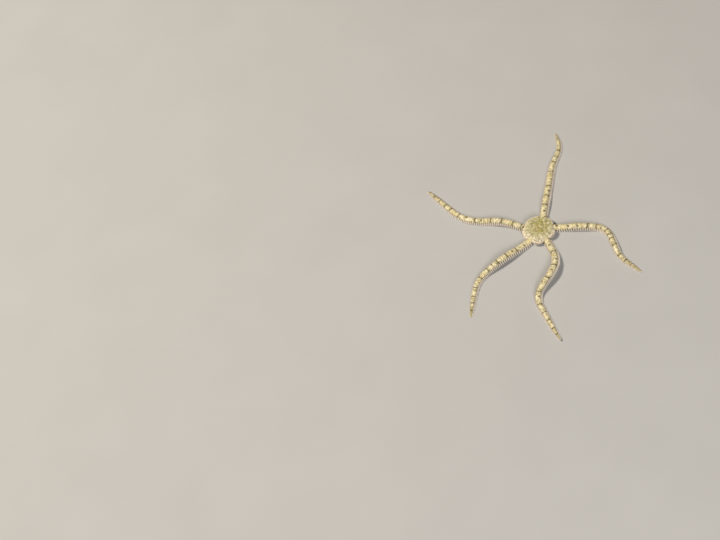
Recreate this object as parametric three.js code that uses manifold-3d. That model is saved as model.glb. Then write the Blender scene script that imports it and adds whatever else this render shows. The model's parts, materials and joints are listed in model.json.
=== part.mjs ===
// Brittle star at rest, life size, in millimetres, with +Z up and its underside on z = 0.
// The origin lies under the middle of the whole spread animal, not under the disc.
import * as THREE from 'three';
import { mergeVertices } from 'three/addons/utils/BufferGeometryUtils.js';
import Module from 'manifold-3d';

const wasm = await Module();
wasm.setup();

// Driving dimensions
const GAP = 0.3; // between one part of the body and the next

const DISC = {
  centre: [5.8, 5.7], // from the origin
  radius: 12.7, // mean reach of the lobes between the arms
  notch: 1.5, // how far the edge draws in beside each arm
  notchWidth: 14, // degrees of that drawing in
  top: 6.3,
  rim: 3, // height of the widest edge
  belly: 0.7, // height of the soft underside between the arms
  turns: 50, // points round the edge
};

// The disc's lobes, which don't all reach the same:
// [degrees, how much further than the mean, over how many degrees]
const LOBES = [[106, -0.9, 30], [176, -0.3, 20], [-104, 0.8, 22], [-38, 0.8, 22], [28, -0.2, 20]];

// The paired shields above each arm: their rise, where they lie and how far they spread
const SHIELD = { rise: 0.35, apart: 13, wide: 9, along: 0.72, long: 0.2 };

// The part of each arm that runs on under the disc, narrower towards the mouth and on the ground
const KEEL = { width: 5.2, height: 2.4, start: 3.1, inner: 0.45, flat: 0.8 };

// The mouth in the underside: rays under the arms between the flat seats of five jaws
const MOUTH = { ray: 3.9, rayHalf: 7, seat: 3.4, seatHalf: 26, depth: 1.8 };

const JAW = { thick: 1.1, above: 0.35 };

const ARM = {
  root: 10.9, // from the disc's centre to the first joint
  halfWidth: 2.35,
  height: 3.5,
  joint: 2.2, // mean length of one joint
  jointSpread: 0.2, // basal joints are this much longer than the mean, the last this much shorter
  step: 0.07, // how far each ring of plates stands proud of the next one's foot
  belly: 0.62, // half width of the flat belly, as a share of the half width
  side: 0.4, // height of the widest place, as a share of the height
  shoulder: [0.72, 0.83], // half width and height of the shoulders, as shares
  tip: 0.5, // length of the rounded end
};

const SPINE = {
  length: 1.35,
  width: 0.68,
  tip: 0.55, // share of the width left at the blunt tip
  sunk: 0.7, // depth of its root in the arm
  forward: 24, // degrees that it leans towards the arm's tip
  place: 0.62, // along its joint
  low: 0.2, // heights of the two rows, as shares of the arm's height
  high: 0.61,
  clear: 0.15, // between the lower row and the ground
  rise: [0.02, 0.3], // upward lean of the lower and the upper row
  vary: [0.1, 5], // spread of the lengths, as a share, and of the lean in degrees
};

// Each arm: where it leaves the disc, its first heading, its length, its bends as
// [distance, turn in degrees, over what length], its lifts off the ground as
// [distance, height, over what length] and the distances at which it is divided.
const ARMS = [
  {
    name: 'arm_back', base: 61, heading: 70, length: 84,
    bends: [[50, -12, 13], [69, 33, 17]],
    lifts: [[14, 0.9, 26]],
    cuts: [22, 45, 66],
  },
  {
    name: 'arm_right', base: -4, heading: -17, length: 88,
    bends: [[39, -68, 22], [67, 29, 18]],
    lifts: [[20, 1.2, 34], [58, 1.1, 22]],
    cuts: [24, 39, 63],
  },
  {
    name: 'arm_front', base: -71, heading: -77, length: 97,
    bends: [[24, -60, 34], [55, 60, 22]],
    lifts: [[34, 3.4, 56], [97, 1.4, 18]],
    cuts: [21, 43, 66],
  },
  {
    name: 'arm_front_left', base: -137, heading: -155, length: 82,
    bends: [[50, 46, 28]],
    lifts: [[26, 2.3, 46]],
    cuts: [20, 41, 62],
  },
  {
    name: 'arm_left', base: 149, heading: 138, length: 92,
    bends: [[17, 25, 48], [48, -43, 38]],
    lifts: [[20, 1.3, 34]],
    cuts: [22, 43, 66],
  },
];
const LENGTHS = ['base', 'inner', 'outer', 'tip'];

const COLOUR = { arm: 0xd9cfa2, disc: 0xc2bd8c, jaw: 0xe6dcc4 };

const radians = THREE.MathUtils.degToRad;
const smooth = THREE.MathUtils.smoothstep;

// A seeded draw between -1 and 1, the same on every run
let seed = 20417;
function draw() {
  seed = (seed * 1103515245 + 12345) % 2147483648;
  return (seed / 1073741824) - 1;
}

// Width of an arm at a share of its length: an even taper that ends in a quick narrowing
const taper = (share) => 1 - 0.5 * share ** 2.4 - 0.3 * share ** 14;

// Path of an arm's underside: sums small steps along its heading
class ArmPath {
  constructor(arm) {
    this.arm = arm;
    this.step = 0.5;
    const base = radians(arm.base);
    let x = ARM.root * Math.cos(base);
    let y = ARM.root * Math.sin(base);
    this.points = [[x, y]];
    for (let s = this.step / 2; s < arm.length + 2; s += this.step) {
      const heading = this.heading(s);
      x += this.step * Math.cos(heading);
      y += this.step * Math.sin(heading);
      this.points.push([x, y]);
    }
  }

  heading(s) {
    let degrees = this.arm.heading;
    for (const [at, turn, over] of this.arm.bends) {
      degrees += turn * smooth(s, at - over / 2, at + over / 2);
    }
    return radians(degrees);
  }

  lift(s) {
    let height = 0;
    for (const [at, rise, over] of this.arm.lifts) {
      const share = Math.min(Math.abs(s - at) / over, 0.5);
      height += rise * (0.5 + 0.5 * Math.cos(2 * Math.PI * share));
    }
    return height;
  }

  // Place on the underside, with the directions forward, to the left and up there
  frame(s) {
    const index = Math.max(0, Math.min(this.points.length - 2, Math.floor(s / this.step)));
    const share = s / this.step - index;
    const [a, b] = [this.points[index], this.points[index + 1]];
    const slope = (this.lift(s + 0.1) - this.lift(s - 0.1)) / 0.2;
    const heading = this.heading(s);
    const forward = new THREE.Vector3(Math.cos(heading), Math.sin(heading), slope).normalize();
    const left = new THREE.Vector3(-Math.sin(heading), Math.cos(heading), 0);
    return {
      origin: new THREE.Vector3(a[0] + share * (b[0] - a[0]), a[1] + share * (b[1] - a[1]), this.lift(s)),
      forward,
      left,
      up: forward.clone().cross(left),
    };
  }
}

function place(frame, forward, left, up) {
  return frame.origin.clone()
    .addScaledVector(frame.forward, forward)
    .addScaledVector(frame.left, left)
    .addScaledVector(frame.up, up);
}

// Section of an arm, as shares of half its width and of its height: a flat belly, full sides and
// a rounded back
const HALF_SECTION = [[ARM.belly, 0], [1, ARM.side], ARM.shoulder];
const SECTION = [
  ...HALF_SECTION,
  [0, 1],
  ...HALF_SECTION.map(([across, high]) => [-across, high]).reverse(),
];

function ring(path, s, proud) {
  const frame = path.frame(s);
  const size = taper(Math.min(s / path.arm.length, 1));
  return SECTION.map(([across, high]) => place(
    frame,
    0,
    across * (ARM.halfWidth * size + proud),
    high * (ARM.height * size + proud),
  ));
}

// A closed solid through rings of points, with flat ends
function solidThrough(rings) {
  const count = rings[0].length;
  const positions = rings.flat().flatMap((point) => point.toArray());
  const index = [];
  for (let r = 0; r + 1 < rings.length; r += 1) {
    for (let i = 0; i < count; i += 1) {
      const j = (i + 1) % count;
      const [a, b, c, d] = [r * count + i, r * count + j, (r + 1) * count + j, (r + 1) * count + i];
      index.push(a, b, c, a, c, d);
    }
  }
  const last = (rings.length - 1) * count;
  for (let i = 1; i + 1 < count; i += 1) {
    index.push(0, i + 1, i, last, last + i, last + i + 1);
  }
  const geometry = new THREE.BufferGeometry();
  geometry.setAttribute('position', new THREE.Float32BufferAttribute(positions, 3));
  geometry.setIndex(index);
  return facingOut(geometry);
}

// Turns a closed geometry's faces outwards
function facingOut(geometry) {
  const index = geometry.getIndex().array;
  const at = geometry.getAttribute('position');
  const [a, b, c] = [new THREE.Vector3(), new THREE.Vector3(), new THREE.Vector3()];
  let volume = 0;
  for (let i = 0; i < index.length; i += 3) {
    a.fromBufferAttribute(at, index[i]);
    b.fromBufferAttribute(at, index[i + 1]);
    c.fromBufferAttribute(at, index[i + 2]);
    volume += a.dot(b.cross(c));
  }
  if (volume < 0) {
    for (let i = 0; i < index.length; i += 3) {
      [index[i + 1], index[i + 2]] = [index[i + 2], index[i + 1]];
    }
  }
  return geometry;
}

function toManifold(source) {
  const bare = source.clone();
  bare.deleteAttribute('normal');
  bare.deleteAttribute('uv');
  const merged = mergeVertices(bare, 1e-4);
  return new wasm.Manifold(new wasm.Mesh({
    numProp: 3,
    vertProperties: Float32Array.from(merged.getAttribute('position').array),
    triVerts: Uint32Array.from(merged.getIndex().array),
  }));
}

// The largest closed surface of a solid, so that a sealed hollow or a loose scrap is left behind
function toGeometry(solid) {
  const largest = solid.decompose().reduce((best, part) => (part.volume() > best.volume() ? part : best));
  const mesh = largest.getMesh();
  const geometry = new THREE.BufferGeometry();
  const positions = [];
  for (let i = 0; i < mesh.vertProperties.length; i += mesh.numProp) {
    positions.push(...mesh.vertProperties.subarray(i, i + 3));
  }
  geometry.setAttribute('position', new THREE.Float32BufferAttribute(positions, 3));
  geometry.setIndex([...mesh.triVerts]);
  return geometry;
}

// Half width of the section at a share of its height, up to its shoulder
function sideAt(share) {
  const [wide, high] = ARM.shoulder;
  return share < ARM.side
    ? ARM.belly + ((1 - ARM.belly) * share) / ARM.side
    : 1 - ((1 - wide) * (share - ARM.side)) / (high - ARM.side);
}

// One blunt three-sided spine out of the arm's side, in the lower or the upper row, its root sunk in
function spine(frame, side, upper, size) {
  const share = upper ? SPINE.high : SPINE.low;
  const height = Math.max(ARM.height * size * share, SPINE.width / 2 + SPINE.clear);
  const length = SPINE.length * (0.45 + 0.55 * size) * (1 + SPINE.vary[0] * draw());
  const root = (SPINE.width * (0.85 + 0.15 * size)) / Math.sqrt(3);
  const sunk = SPINE.sunk * (0.5 + 0.5 * size);
  const geometry = new THREE.CylinderGeometry(root * SPINE.tip, root, length + sunk, 3);
  geometry.translate(0, (length - sunk) / 2, 0);
  const lean = radians(SPINE.forward + SPINE.vary[1] * draw());
  const out = new THREE.Vector3()
    .addScaledVector(frame.left, side * Math.cos(lean))
    .addScaledVector(frame.forward, Math.sin(lean))
    .addScaledVector(frame.up, SPINE.rise[upper ? 1 : 0])
    .normalize();
  const top = frame.up.clone().addScaledVector(out, -frame.up.dot(out)).normalize();
  const turn = new THREE.Matrix4().makeBasis(out.clone().cross(top), out, top);
  turn.setPosition(place(frame, 0, side * ARM.halfWidth * size * sideAt(share), height));
  return geometry.applyMatrix4(turn);
}

// Share of a joint's length that each side of the groove takes
const GROOVE = 0.06;

// Distances of the joints' near ends, the basal ones longer than the last
function jointEnds(arm) {
  const count = Math.round(arm.length / ARM.joint);
  return Array.from({ length: count + 1 }, (none, k) => {
    const share = k / count;
    return arm.length * (share + ARM.jointSpread * share * (1 - share));
  });
}

// Whether the spines of a joint would touch the disc's lobes on either side of it
function insideDisc(frame) {
  return [-1, 1].some((side) => {
    const far = place(frame, 0, side * (ARM.halfWidth + SPINE.length), 0);
    const degrees = THREE.MathUtils.radToDeg(Math.atan2(far.y, far.x));
    return Math.hypot(far.x, far.y) < discRadius(degrees) + 2 * GAP;
  });
}

// One length of an arm, from one groove between joints to another, with its spines fused on
function armLength(path, ends, first, last) {
  const atTip = last === ends.length - 1;
  const rings = [];
  const spines = [];
  for (let k = first; k < last; k += 1) {
    const long = ends[k + 1] - ends[k];
    const near = ends[k] + (k === first ? GAP / 2 : GROOVE * long);
    const far = ends[k + 1] - (k + 1 === last && !atTip ? GAP / 2 : GROOVE * long);
    const size = taper(far / path.arm.length);
    rings.push(ring(path, near, 0), ring(path, far, ARM.step * size));
    const frame = path.frame(ends[k] + SPINE.place * long);
    if (insideDisc(frame)) continue;
    for (const side of [-1, 1]) {
      const upper = (k + (side > 0 ? 1 : 0)) % 2 === 0;
      spines.push(spine(frame, side, upper, size));
    }
  }
  if (atTip) rings.push(tipRing(rings[rings.length - 1], path));
  return toGeometry(wasm.Manifold.union([solidThrough(rings), ...spines].map(toManifold)));
}

// The drawn-in last ring of an arm
function tipRing(last, path) {
  const middle = last.reduce((sum, point) => sum.add(point), new THREE.Vector3()).divideScalar(last.length);
  const { forward } = path.frame(path.arm.length);
  return last.map((point) => point.clone().lerp(middle, 0.45).addScaledVector(forward, ARM.tip));
}

// Degrees between two directions, the shorter way round
function apart(first, second) {
  return Math.abs(((((first - second) % 360) + 540) % 360) - 180);
}

// The disc's edge: its lobes stand out between the arms and it draws in beside each of them
function discRadius(degrees) {
  const nearest = Math.min(...ARMS.map((arm) => apart(degrees, arm.base)));
  const drawnIn = DISC.notch * Math.exp(-((nearest / DISC.notchWidth) ** 2));
  return LOBES.reduce(
    (reach, [at, more, over]) => reach + more * Math.exp(-((apart(degrees, at) / over) ** 2)),
    DISC.radius - drawnIn,
  );
}

function shieldRise(degrees, share) {
  return ARMS.reduce((rise, arm) => {
    const across = (apart(degrees, arm.base) - SHIELD.apart) / SHIELD.wide;
    const along = (share - SHIELD.along) / SHIELD.long;
    return rise + SHIELD.rise * Math.exp(-(across ** 2) - along ** 2);
  }, 0);
}

// Half section of the disc, as shares of its radius and of the rise of its back above the rim
const DISC_BACK = [
  [0.16, 1], [0.34, 0.985], [0.52, 0.93], [0.68, 0.84], [0.82, 0.69], [0.93, 0.45], [0.99, 0.2],
];

function discBody() {
  const profile = [
    ...DISC_BACK.map(([share, high]) => [share, DISC.rim + high * (DISC.top - DISC.rim)]),
    [1, DISC.rim - 0.25],
    [0.95, DISC.rim - 1.1],
    [0.84, DISC.belly],
    [0.3, DISC.belly],
  ];
  return solidThrough(profile.map(([share, height]) => Array.from({ length: DISC.turns }, (none, i) => {
    const degrees = (360 * i) / DISC.turns;
    const reach = share * discRadius(degrees);
    const shield = height > DISC.rim ? shieldRise(degrees, share) : 0;
    return polar(reach, degrees, height + shield);
  })));
}

function polar(reach, degrees, height = 0) {
  return new THREE.Vector3(reach * Math.cos(radians(degrees)), reach * Math.sin(radians(degrees)), height);
}

function keel(arm) {
  const length = ARM.root - KEEL.start - GAP;
  const geometry = new THREE.BoxGeometry(length, KEEL.width, KEEL.height);
  const at = geometry.getAttribute('position');
  for (let i = 0; i < at.count; i += 1) {
    const inner = at.getX(i) < 0 ? KEEL.inner : 1;
    const flat = at.getZ(i) < 0 ? KEEL.flat : 1;
    at.setY(i, at.getY(i) * inner * flat);
  }
  geometry.translate(KEEL.start + length / 2, 0, KEEL.height / 2);
  return geometry.rotateZ(radians(arm.base));
}

// The seat that the first joint of an arm sits in, wider than it by the gap and open below
function seat(path) {
  const grown = ARM.step + GAP;
  return solidThrough([-GAP, 2 * ARM.joint].map((s) => {
    const frame = path.frame(s);
    return SECTION.map(([across, high]) => (high === 0
      ? place(frame, 0, Math.sign(across) * (ARM.belly * ARM.halfWidth + 2 * grown), -1)
      : place(frame, 0, across * (ARM.halfWidth + 1.3 * grown), high * (ARM.height + 1.3 * grown))));
  }));
}

// Directions of the middles between the arms, going round
function betweenArms() {
  const bases = ARMS.map((arm) => (arm.base + 360) % 360).sort((a, b) => a - b);
  return bases.map((base, i) => (base + (bases[i + 1] ?? bases[0] + 360)) / 2);
}

function mouth() {
  const corners = betweenArms().flatMap((middle, i, middles) => {
    const next = middles[i + 1] ?? middles[0] + 360;
    const under = (middle + next) / 2;
    return [
      polar(MOUTH.seat, middle - MOUTH.seatHalf),
      polar(MOUTH.seat, middle + MOUTH.seatHalf),
      polar(MOUTH.ray, under - MOUTH.rayHalf),
      polar(MOUTH.ray, under + MOUTH.rayHalf),
    ];
  });
  const outline = new THREE.Shape(corners.map(({ x, y }) => new THREE.Vector2(x, y)));
  const geometry = new THREE.ExtrudeGeometry(outline, { depth: MOUTH.depth + 1, bevelEnabled: false });
  return geometry.translate(0, 0, -1);
}

// One jaw: a wedge between two rays of the mouth, its toothed edge towards the middle
function jaw(degrees) {
  const back = MOUTH.seat * Math.cos(radians(MOUTH.seatHalf)) - GAP;
  const half = [[back, 1.25], [1.9, 0.75], [1.55, 0.3], [1.15, 0.42]];
  const edge = [...half, [0.85, 0], ...half.map(([along, across]) => [along, -across]).reverse()];
  const outline = new THREE.Shape(edge.map(([along, across]) => new THREE.Vector2(along, across)));
  const geometry = new THREE.ExtrudeGeometry(outline, { depth: JAW.thick, bevelEnabled: false });
  return geometry.translate(0, 0, JAW.above).rotateZ(radians(degrees));
}

function named(name, geometry, colour, roughness) {
  const material = new THREE.MeshStandardMaterial({ color: colour, roughness, metalness: 0 });
  const mesh = new THREE.Mesh(geometry, material);
  mesh.name = name;
  return mesh;
}

// Arms
const star = new THREE.Group();
const paths = ARMS.map((arm) => new ArmPath(arm));
for (const path of paths) {
  const ends = jointEnds(path.arm);
  const cuts = [0, ...path.arm.cuts.map((at) => ends.findIndex((end) => end >= at)), ends.length - 1];
  LENGTHS.forEach((part, i) => {
    const geometry = armLength(path, ends, cuts[i], cuts[i + 1]);
    star.add(named(`${path.arm.name}_${part}`, geometry, COLOUR.arm, 0.7));
  });
}

// Disc and mouth
const whole = [discBody(), ...ARMS.map(keel)].map(toManifold);
const hollows = [mouth(), ...paths.map(seat)].map(toManifold);
const disc = wasm.Manifold.union(whole).subtract(wasm.Manifold.union(hollows));
star.add(named('disc', toGeometry(disc), COLOUR.disc, 0.8));

betweenArms().forEach((middle, i) => star.add(named(`jaw_${i + 1}`, jaw(middle), COLOUR.jaw, 0.5)));

star.position.set(...DISC.centre, 0);

export default star;
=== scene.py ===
"""Looks of a life-size brittle star at rest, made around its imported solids.

Shapes are worked out in millimetres, each piece in its place, and turned to metres in add_piece().
"""

import json
import math

import bpy
import numpy as np
from mathutils import Matrix, Vector, noise

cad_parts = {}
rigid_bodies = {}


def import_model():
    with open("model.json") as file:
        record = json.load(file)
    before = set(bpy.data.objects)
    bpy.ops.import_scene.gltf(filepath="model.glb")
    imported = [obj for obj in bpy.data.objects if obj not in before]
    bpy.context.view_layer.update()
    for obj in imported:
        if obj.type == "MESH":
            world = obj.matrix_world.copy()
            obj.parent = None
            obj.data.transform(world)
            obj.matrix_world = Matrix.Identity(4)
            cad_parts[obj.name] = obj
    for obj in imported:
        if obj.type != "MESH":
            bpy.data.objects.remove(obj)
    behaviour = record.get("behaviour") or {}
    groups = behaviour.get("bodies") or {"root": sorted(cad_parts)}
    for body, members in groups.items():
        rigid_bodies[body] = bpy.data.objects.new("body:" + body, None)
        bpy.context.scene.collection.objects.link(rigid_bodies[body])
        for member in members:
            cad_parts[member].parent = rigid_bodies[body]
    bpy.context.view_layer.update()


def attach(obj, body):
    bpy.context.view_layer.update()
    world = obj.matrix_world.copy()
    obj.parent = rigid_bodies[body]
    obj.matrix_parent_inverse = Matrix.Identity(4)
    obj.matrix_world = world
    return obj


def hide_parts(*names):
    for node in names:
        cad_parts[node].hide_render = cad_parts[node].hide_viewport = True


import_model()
METRES = 0.001  # one millimetre
UP = np.array([0.0, 0.0, 1.0])
DOWN = -UP

# Disc: its place on the ground, its edge and the height of its back, rim and soft underside
DISC_CENTRE = np.array([5.8, 5.7, 0.0])
DISC_RADIUS = 12.7  # mean reach of the lobes between the arms
DISC_NOTCH = 1.5  # how far the edge draws in beside each arm
NOTCH_WIDTH = 14  # degrees of that drawing in
DISC_TOP = 6.3
DISC_RIM = 3.0
DISC_BELLY = 0.7
BACK_POWER = 3.2  # the higher, the flatter the back and the steeper its edge
EDGE_POWER = 1.5  # of the edge's lower half: 1 is an ellipse, and more is flatter
BELLY_SHARE = 0.84  # of the radius, where the underside turns flat
YELLOW_MIDDLE = DISC_CENTRE + (1.6, 0.9, 0)  # of the disc's markings

# Low humps above each arm: their rise, degrees from the arm and wide, shares of the radius out and long,
# which the bare shields lie on
SHIELD_HUMP = {"rise": 0.2, "apart": 13, "wide": 9, "along": 0.72, "long": 0.2}

# Scallops of the edge, and the degrees from an arm at which they start and are at their deepest
SCALLOPS = {"count": 30, "deep": 0.42, "start": 11, "full": 17}

# The lobes don't all reach the same: degrees, how much further than the mean, over how many degrees
LOBES = [[106, -0.9, 30], [176, -0.3, 20], [-104, 0.8, 22], [-38, 0.8, 22], [28, -0.2, 20]]

# Arms: half their width and their height at the root, which every taper starts from
ARM_ROOT = 10.9  # from the disc's centre to the first free joint
ARM_INNER = -7.0  # where the run under the disc ends, at the mouth
ARM_HALF = 2.35
ARM_HEIGHT = 3.5
ARM_SIDE = 0.4  # height of the widest place, as a share of the height
ARM_SHOULDER = 0.8  # the lower, the squarer the arm's shoulders; 1 is an ellipse
UNDER_DISC = {"narrower": 0.5, "lower": 0.35}  # shares lost on the way to the mouth
TAPER = {"even": 0.5, "even_power": 2.4, "quick": 0.3, "quick_power": 14}  # shares lost towards the tip
TIP = {"past": 0.25, "share": 0.55}  # where the skin closes past the last joint, and its section there
FLESH_DEPTH = 0.17  # of the skin below the plates

# Joints: the basal ones longer than the last, all a quarter longer than real ones so that their combs show
JOINT_MEAN = 1.4
JOINT_SPREAD = 0.34
JOINT_LONG = JOINT_MEAN * (1 + JOINT_SPREAD)
JOINTS_UNDER_DISC = 5
FAINT_BAND = 0.25  # of the joints on both sides of a dark band

# Plates of a joint: their middle and half their turn round the arm's section in degrees, the share of
# their width at the near end, the shares of the joint that they overlap the next one by and bow by, and
# in millimetres the height of their near and far ends over the section, and their thickness
BACK_PLATE = {"middle": 90, "half_turn": 67, "narrow": 0.86, "overlap": 0.14, "bow": 0.1,
              "low": -0.06, "high": 0.09, "thick": 0.14}
SIDE_PLATE = {"middle": -9, "half_turn": 36, "narrow": 0.9, "overlap": 0.12, "bow": 0.0,
              "low": -0.1, "high": 0.1, "thick": 0.14}
BELLY_PLATE = {"middle": -90, "half_turn": 30, "narrow": 0.85, "overlap": 0.1, "bow": 0.06,
               "low": -0.09, "high": -0.03, "thick": 0.1}
UNEVEN_PLATES = {"size_spread": 0.02, "lean_spread": (0.02, 0.02, 0.02)}

# Spines: blunt pegs in a comb on each side of each joint, each with its place round the arm's section
# and its tilt in degrees. The combs on the side away from the viewer are tucked down and shorter. All
# profiles are heights and radii from the foot to the point.
SPINE_LENGTH = 1.75
SPINE_WIDTH = 0.64
COMB = np.array([[-28, -32], [-5, -41], [18, -50]])
COMB_ALONG = 0.8  # share of the joint's length at which the comb stands
TUCKED = {"side": np.array([-0.5, 0.87, 0]), "tilt": -20, "shorter": 0.3}
SPINE_LEAN = 10  # degrees towards the arm's tip
SPINE_VARY = {"shortest": 0.84, "longest": 1.12, "lean": 4}
SPINE_FOLLOWS = {"length": 0.6, "width": 0.5}  # share of each that shrinks with the arm
SPINE_PROFILE = [(-0.22, 0.46), (0.1, 0.5), (0.7, 0.44), (0.93, 0.28), (1.0, 0)]
DISC_CLEAR = 0.2  # between the disc's edge and the first comb
FLOOR_CLEAR = 0.06

# Scales over the feet beside the belly plates, and the rounded plate at each arm's tip
FOOT_SCALE = {"angle": -46, "size": np.array([0.75, 0.5, 0.2]), "least_height": 0.3}
END_PLATE = {"size": [0.58, 0.85, 0.65], "height": 0.5}
END_PROFILE = [(-0.5, 0.45), (0.0, 0.5), (0.5, 0.42), (0.85, 0.24), (1.0, 0)]

# Granules, three times as coarse as real ones so that they show. Underneath they are coarser still, and
# keep clear of the mouth, the arms and the slits
GRAIN_SPACING = 0.27
GRAIN_SPREAD = 0.18
GRAIN_PROFILE = [(-0.3, 0.42), (0.12, 0.44), (0.34, 0)]
BELLY_GRAIN = {"spacing": 0.36, "from_middle": 4.6, "off_arms": 2.2, "most_slit": 0.3}

# Slits on the underside, along both sides of each arm, and the run over which their ends fade
SLIT = {"off": 3.1, "half": 0.24, "inner": 5.6, "outer": 10.4, "deep": 0.3, "fade": 0.5}

# Scales of the disc's edge, in rows on its back: share of the radius, how pale they are, long, wide
RIM_ROWS = [[0.905, 0.15, 1.2, 1.05], [0.952, 1.0, 1.25, 1.1]]
RIM_HIGH = 0.22
RIM_TILT = 0.3  # slope by which a scale's outer end rises off the back
RIM_STEP = 4.6  # degrees from one scale of a row to the next
RIM_VARY = 0.5  # degrees
RIM_CLEAR = 10.5  # degrees that a row keeps from an arm's middle

# One more row at the widest edge, tucked in at its lower end, and its place on the unwrap's round patch
LOW_RIM = {"share": 0.99, "height": 2.7, "pale": 0.8, "size": [1.2, 1.15, 0.25], "tuck": 0.25, "clear": 12,
           "patch": 1.03}

# The arm's back plates run on up the disc's edge: share of the radius, long, wide, how pale
NECK_ROWS = np.array([[0.98, 1.7, 3.9, 0.9], [0.9, 1.45, 3.2, 0.6], [0.82, 1.3, 2.4, 0.35],
                      [0.75, 1.1, 1.6, 0.15]])
NECK_HIGH = 0.24
NECK_TILT = 0.15

# Bare shields in pairs above the arms: from the disc's middle, off the arm's line, and turned from it
# in degrees
SHIELD = {"out": 8.3, "off": 2.15, "turn": 1.5, "rise": 0.14}

# Mouth in the underside: rays under the arms between the seats of five jaws
MOUTH = {"ray": 3.9, "ray_half": 7, "seat": 3.4, "seat_half": 26, "deep": 1.8}
JAW_LOW = 0.35  # height of the jaws' lower face
JAW_RISE = 0.9
JAW_HALF = [[2.75, 1.25], [1.9, 0.75], [1.55, 0.3], [1.15, 0.42]]  # from the back to the toothed tip
JAW_GROOVE = [[0.85, 0.12], [2.7, 0.1]]  # from the tip to the back

# Shields outside each jaw: a broad one, and a narrow one along each side of the jaw's seat
MOUTH_SHIELD = {"out": 5.5, "rise": 0.28}
SIDE_SHIELD = {"out": 3.9, "off": 1.75, "turn": 52}

# Teeth and papillae of one side of a jaw: along it, off its middle line, and the way that each points
TEETH = [[0.9, 0, 180], [0.98, 0.32, 150], [1.35, 0.5, 115], [1.75, 0.72, 115], [2.15, 0.95, 110],
         [2.55, 1.15, 105]]
TOOTH_SIZE = (0.34, 0.34, 0.62)
FRONT_TOOTH_SIZE = (0.5, 0.6, 0.6)
TOOTH_ROOT = 0.25  # above the jaws' lower face
TOOTH_DROOP = 0.35  # slope by which a tooth's point hangs lower than its root
TOOTH_PROFILE = [(-0.5, 0.5), (0.3, 0.5), (0.75, 0.36), (1.0, 0)]

# Each arm: where it leaves the disc, its first heading, its length, its bends as
# [distance, turn in degrees, over what length], its lifts off the ground as
# [distance, height, over what length], the distances of its dark bands, and its lone
# spots as [distance, side], from -1 on the right to 1 on the left
ARMS = {
    "arm_back": {
        "base": 61, "heading": 70, "length": 84,
        "bends": [[50, -12, 13], [69, 33, 17]],
        "lifts": [[14, 0.9, 26]],
        "bands": [11.5, 20.2, 30.1, 43.6, 54.3, 58.7, 65.3, 70.2, 76.5],
        "spots": [[6.1, -0.4], [25.6, -0.8], [36.8, -0.9]],
    },
    "arm_right": {
        "base": -4, "heading": -17, "length": 88,
        "bends": [[39, -68, 22], [67, 29, 18]],
        "lifts": [[20, 1.2, 34], [58, 1.1, 22]],
        "bands": [25.1, 32.7, 40.9, 46.3, 49.8, 57.5, 65.6, 72.5, 79],
        "spots": [[3.7, 0.2], [11.7, -0.3], [18.5, -0.6], [37, -0.9]],
    },
    "arm_front": {
        "base": -71, "heading": -77, "length": 97,
        "bends": [[24, -60, 34], [55, 60, 22]],
        "lifts": [[34, 3.4, 56], [97, 1.4, 18]],
        "bands": [14.3, 26.9, 38.8, 50.7, 62.8, 69.5, 77.6, 85.5, 92],
        "spots": [[7, -0.2], [22, 0.6], [32.5, 0.1], [44, -0.9], [55.4, 0.4]],
    },
    "arm_front_left": {
        "base": -137, "heading": -155, "length": 82,
        "bends": [[50, 46, 28]],
        "lifts": [[26, 2.3, 46]],
        "bands": [13, 22, 30.1, 39, 48, 57, 64.6, 70.6, 76.5],
        "spots": [[6.2, 0.7], [17.5, 0.2], [35, -0.7]],
    },
    "arm_left": {
        "base": 149, "heading": 138, "length": 92,
        "bends": [[17, 25, 48], [48, -43, 38]],
        "lifts": [[20, 1.3, 34]],
        "bands": [3.6, 10.6, 18.8, 26.7, 40, 54.8, 64.4, 69.8, 77, 84],
        "spots": [[1.2, 0.6], [34.7, 0.3], [46.7, -0.5]],
    },
}
LENGTHS = ("base", "inner", "outer", "tip")
JAWS = [f"jaw_{number}" for number in range(1, 6)]

# Layout of the flat unwrap of the body: a strip for each arm and a round patch for each side of the disc
STRIP = {"left": 0.02, "low": 0.02, "apart": 0.11, "high": 0.1, "per_mm": 0.009}
PATCH_PER_MM = 0.0145
BACK_PATCH = (0.21, 0.79)
BELLY_PATCH = (0.61, 0.79)
MOUTH_PATCH = (0.9, 0.79)
STRIPS_TOP = 0.59  # the strips lie below this height, and the patches above it
PLATE_PATCH = 0.9  # share of a plate's room on its strip that it fills
TUFT_PATCH = 0.003  # side of the patch of one spine or granule

draw = np.random.default_rng(20417)


def smooth(x, start, end):
    t = np.clip((np.asarray(x) - start) / (end - start), 0, 1)
    return t * t * (3 - 2 * t)


def unit(vectors):
    return vectors / np.linalg.norm(vectors, axis=-1, keepdims=True)


def apart(first, second):
    """Degrees between two directions, the shorter way round."""
    return np.abs((np.asarray(first, float) - second + 540) % 360 - 180)


def ray(degrees, reach=1.0, height=0.0):
    """The point at a reach and height in a direction from the disc's centre."""
    turn = np.radians(degrees)
    parts = np.broadcast_arrays(reach * np.cos(turn), reach * np.sin(turn), height)
    return np.stack(parts, -1).astype(float)


def polar(points):
    """How far points are from the disc's centre in the ground plan, and their direction in degrees."""
    x, y = points[..., 0], points[..., 1]
    return np.hypot(x, y), np.degrees(np.arctan2(y, x))


def beside_arm(points, base):
    """How far points are along the line on which an arm leaves the disc, and how far off it."""
    x, y = points[..., 0], points[..., 1]
    c, s = math.cos(math.radians(base)), math.sin(math.radians(base))
    return x * c + y * s, np.abs(y * c - x * s)


def taper(share):
    """Width of an arm at a share of its length: an even taper that ends in a quick narrowing."""
    share = np.clip(share, 0, 1)
    even = TAPER["even"] * share ** TAPER["even_power"]
    quick = TAPER["quick"] * share ** TAPER["quick_power"]
    return 1 - even - quick


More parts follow.
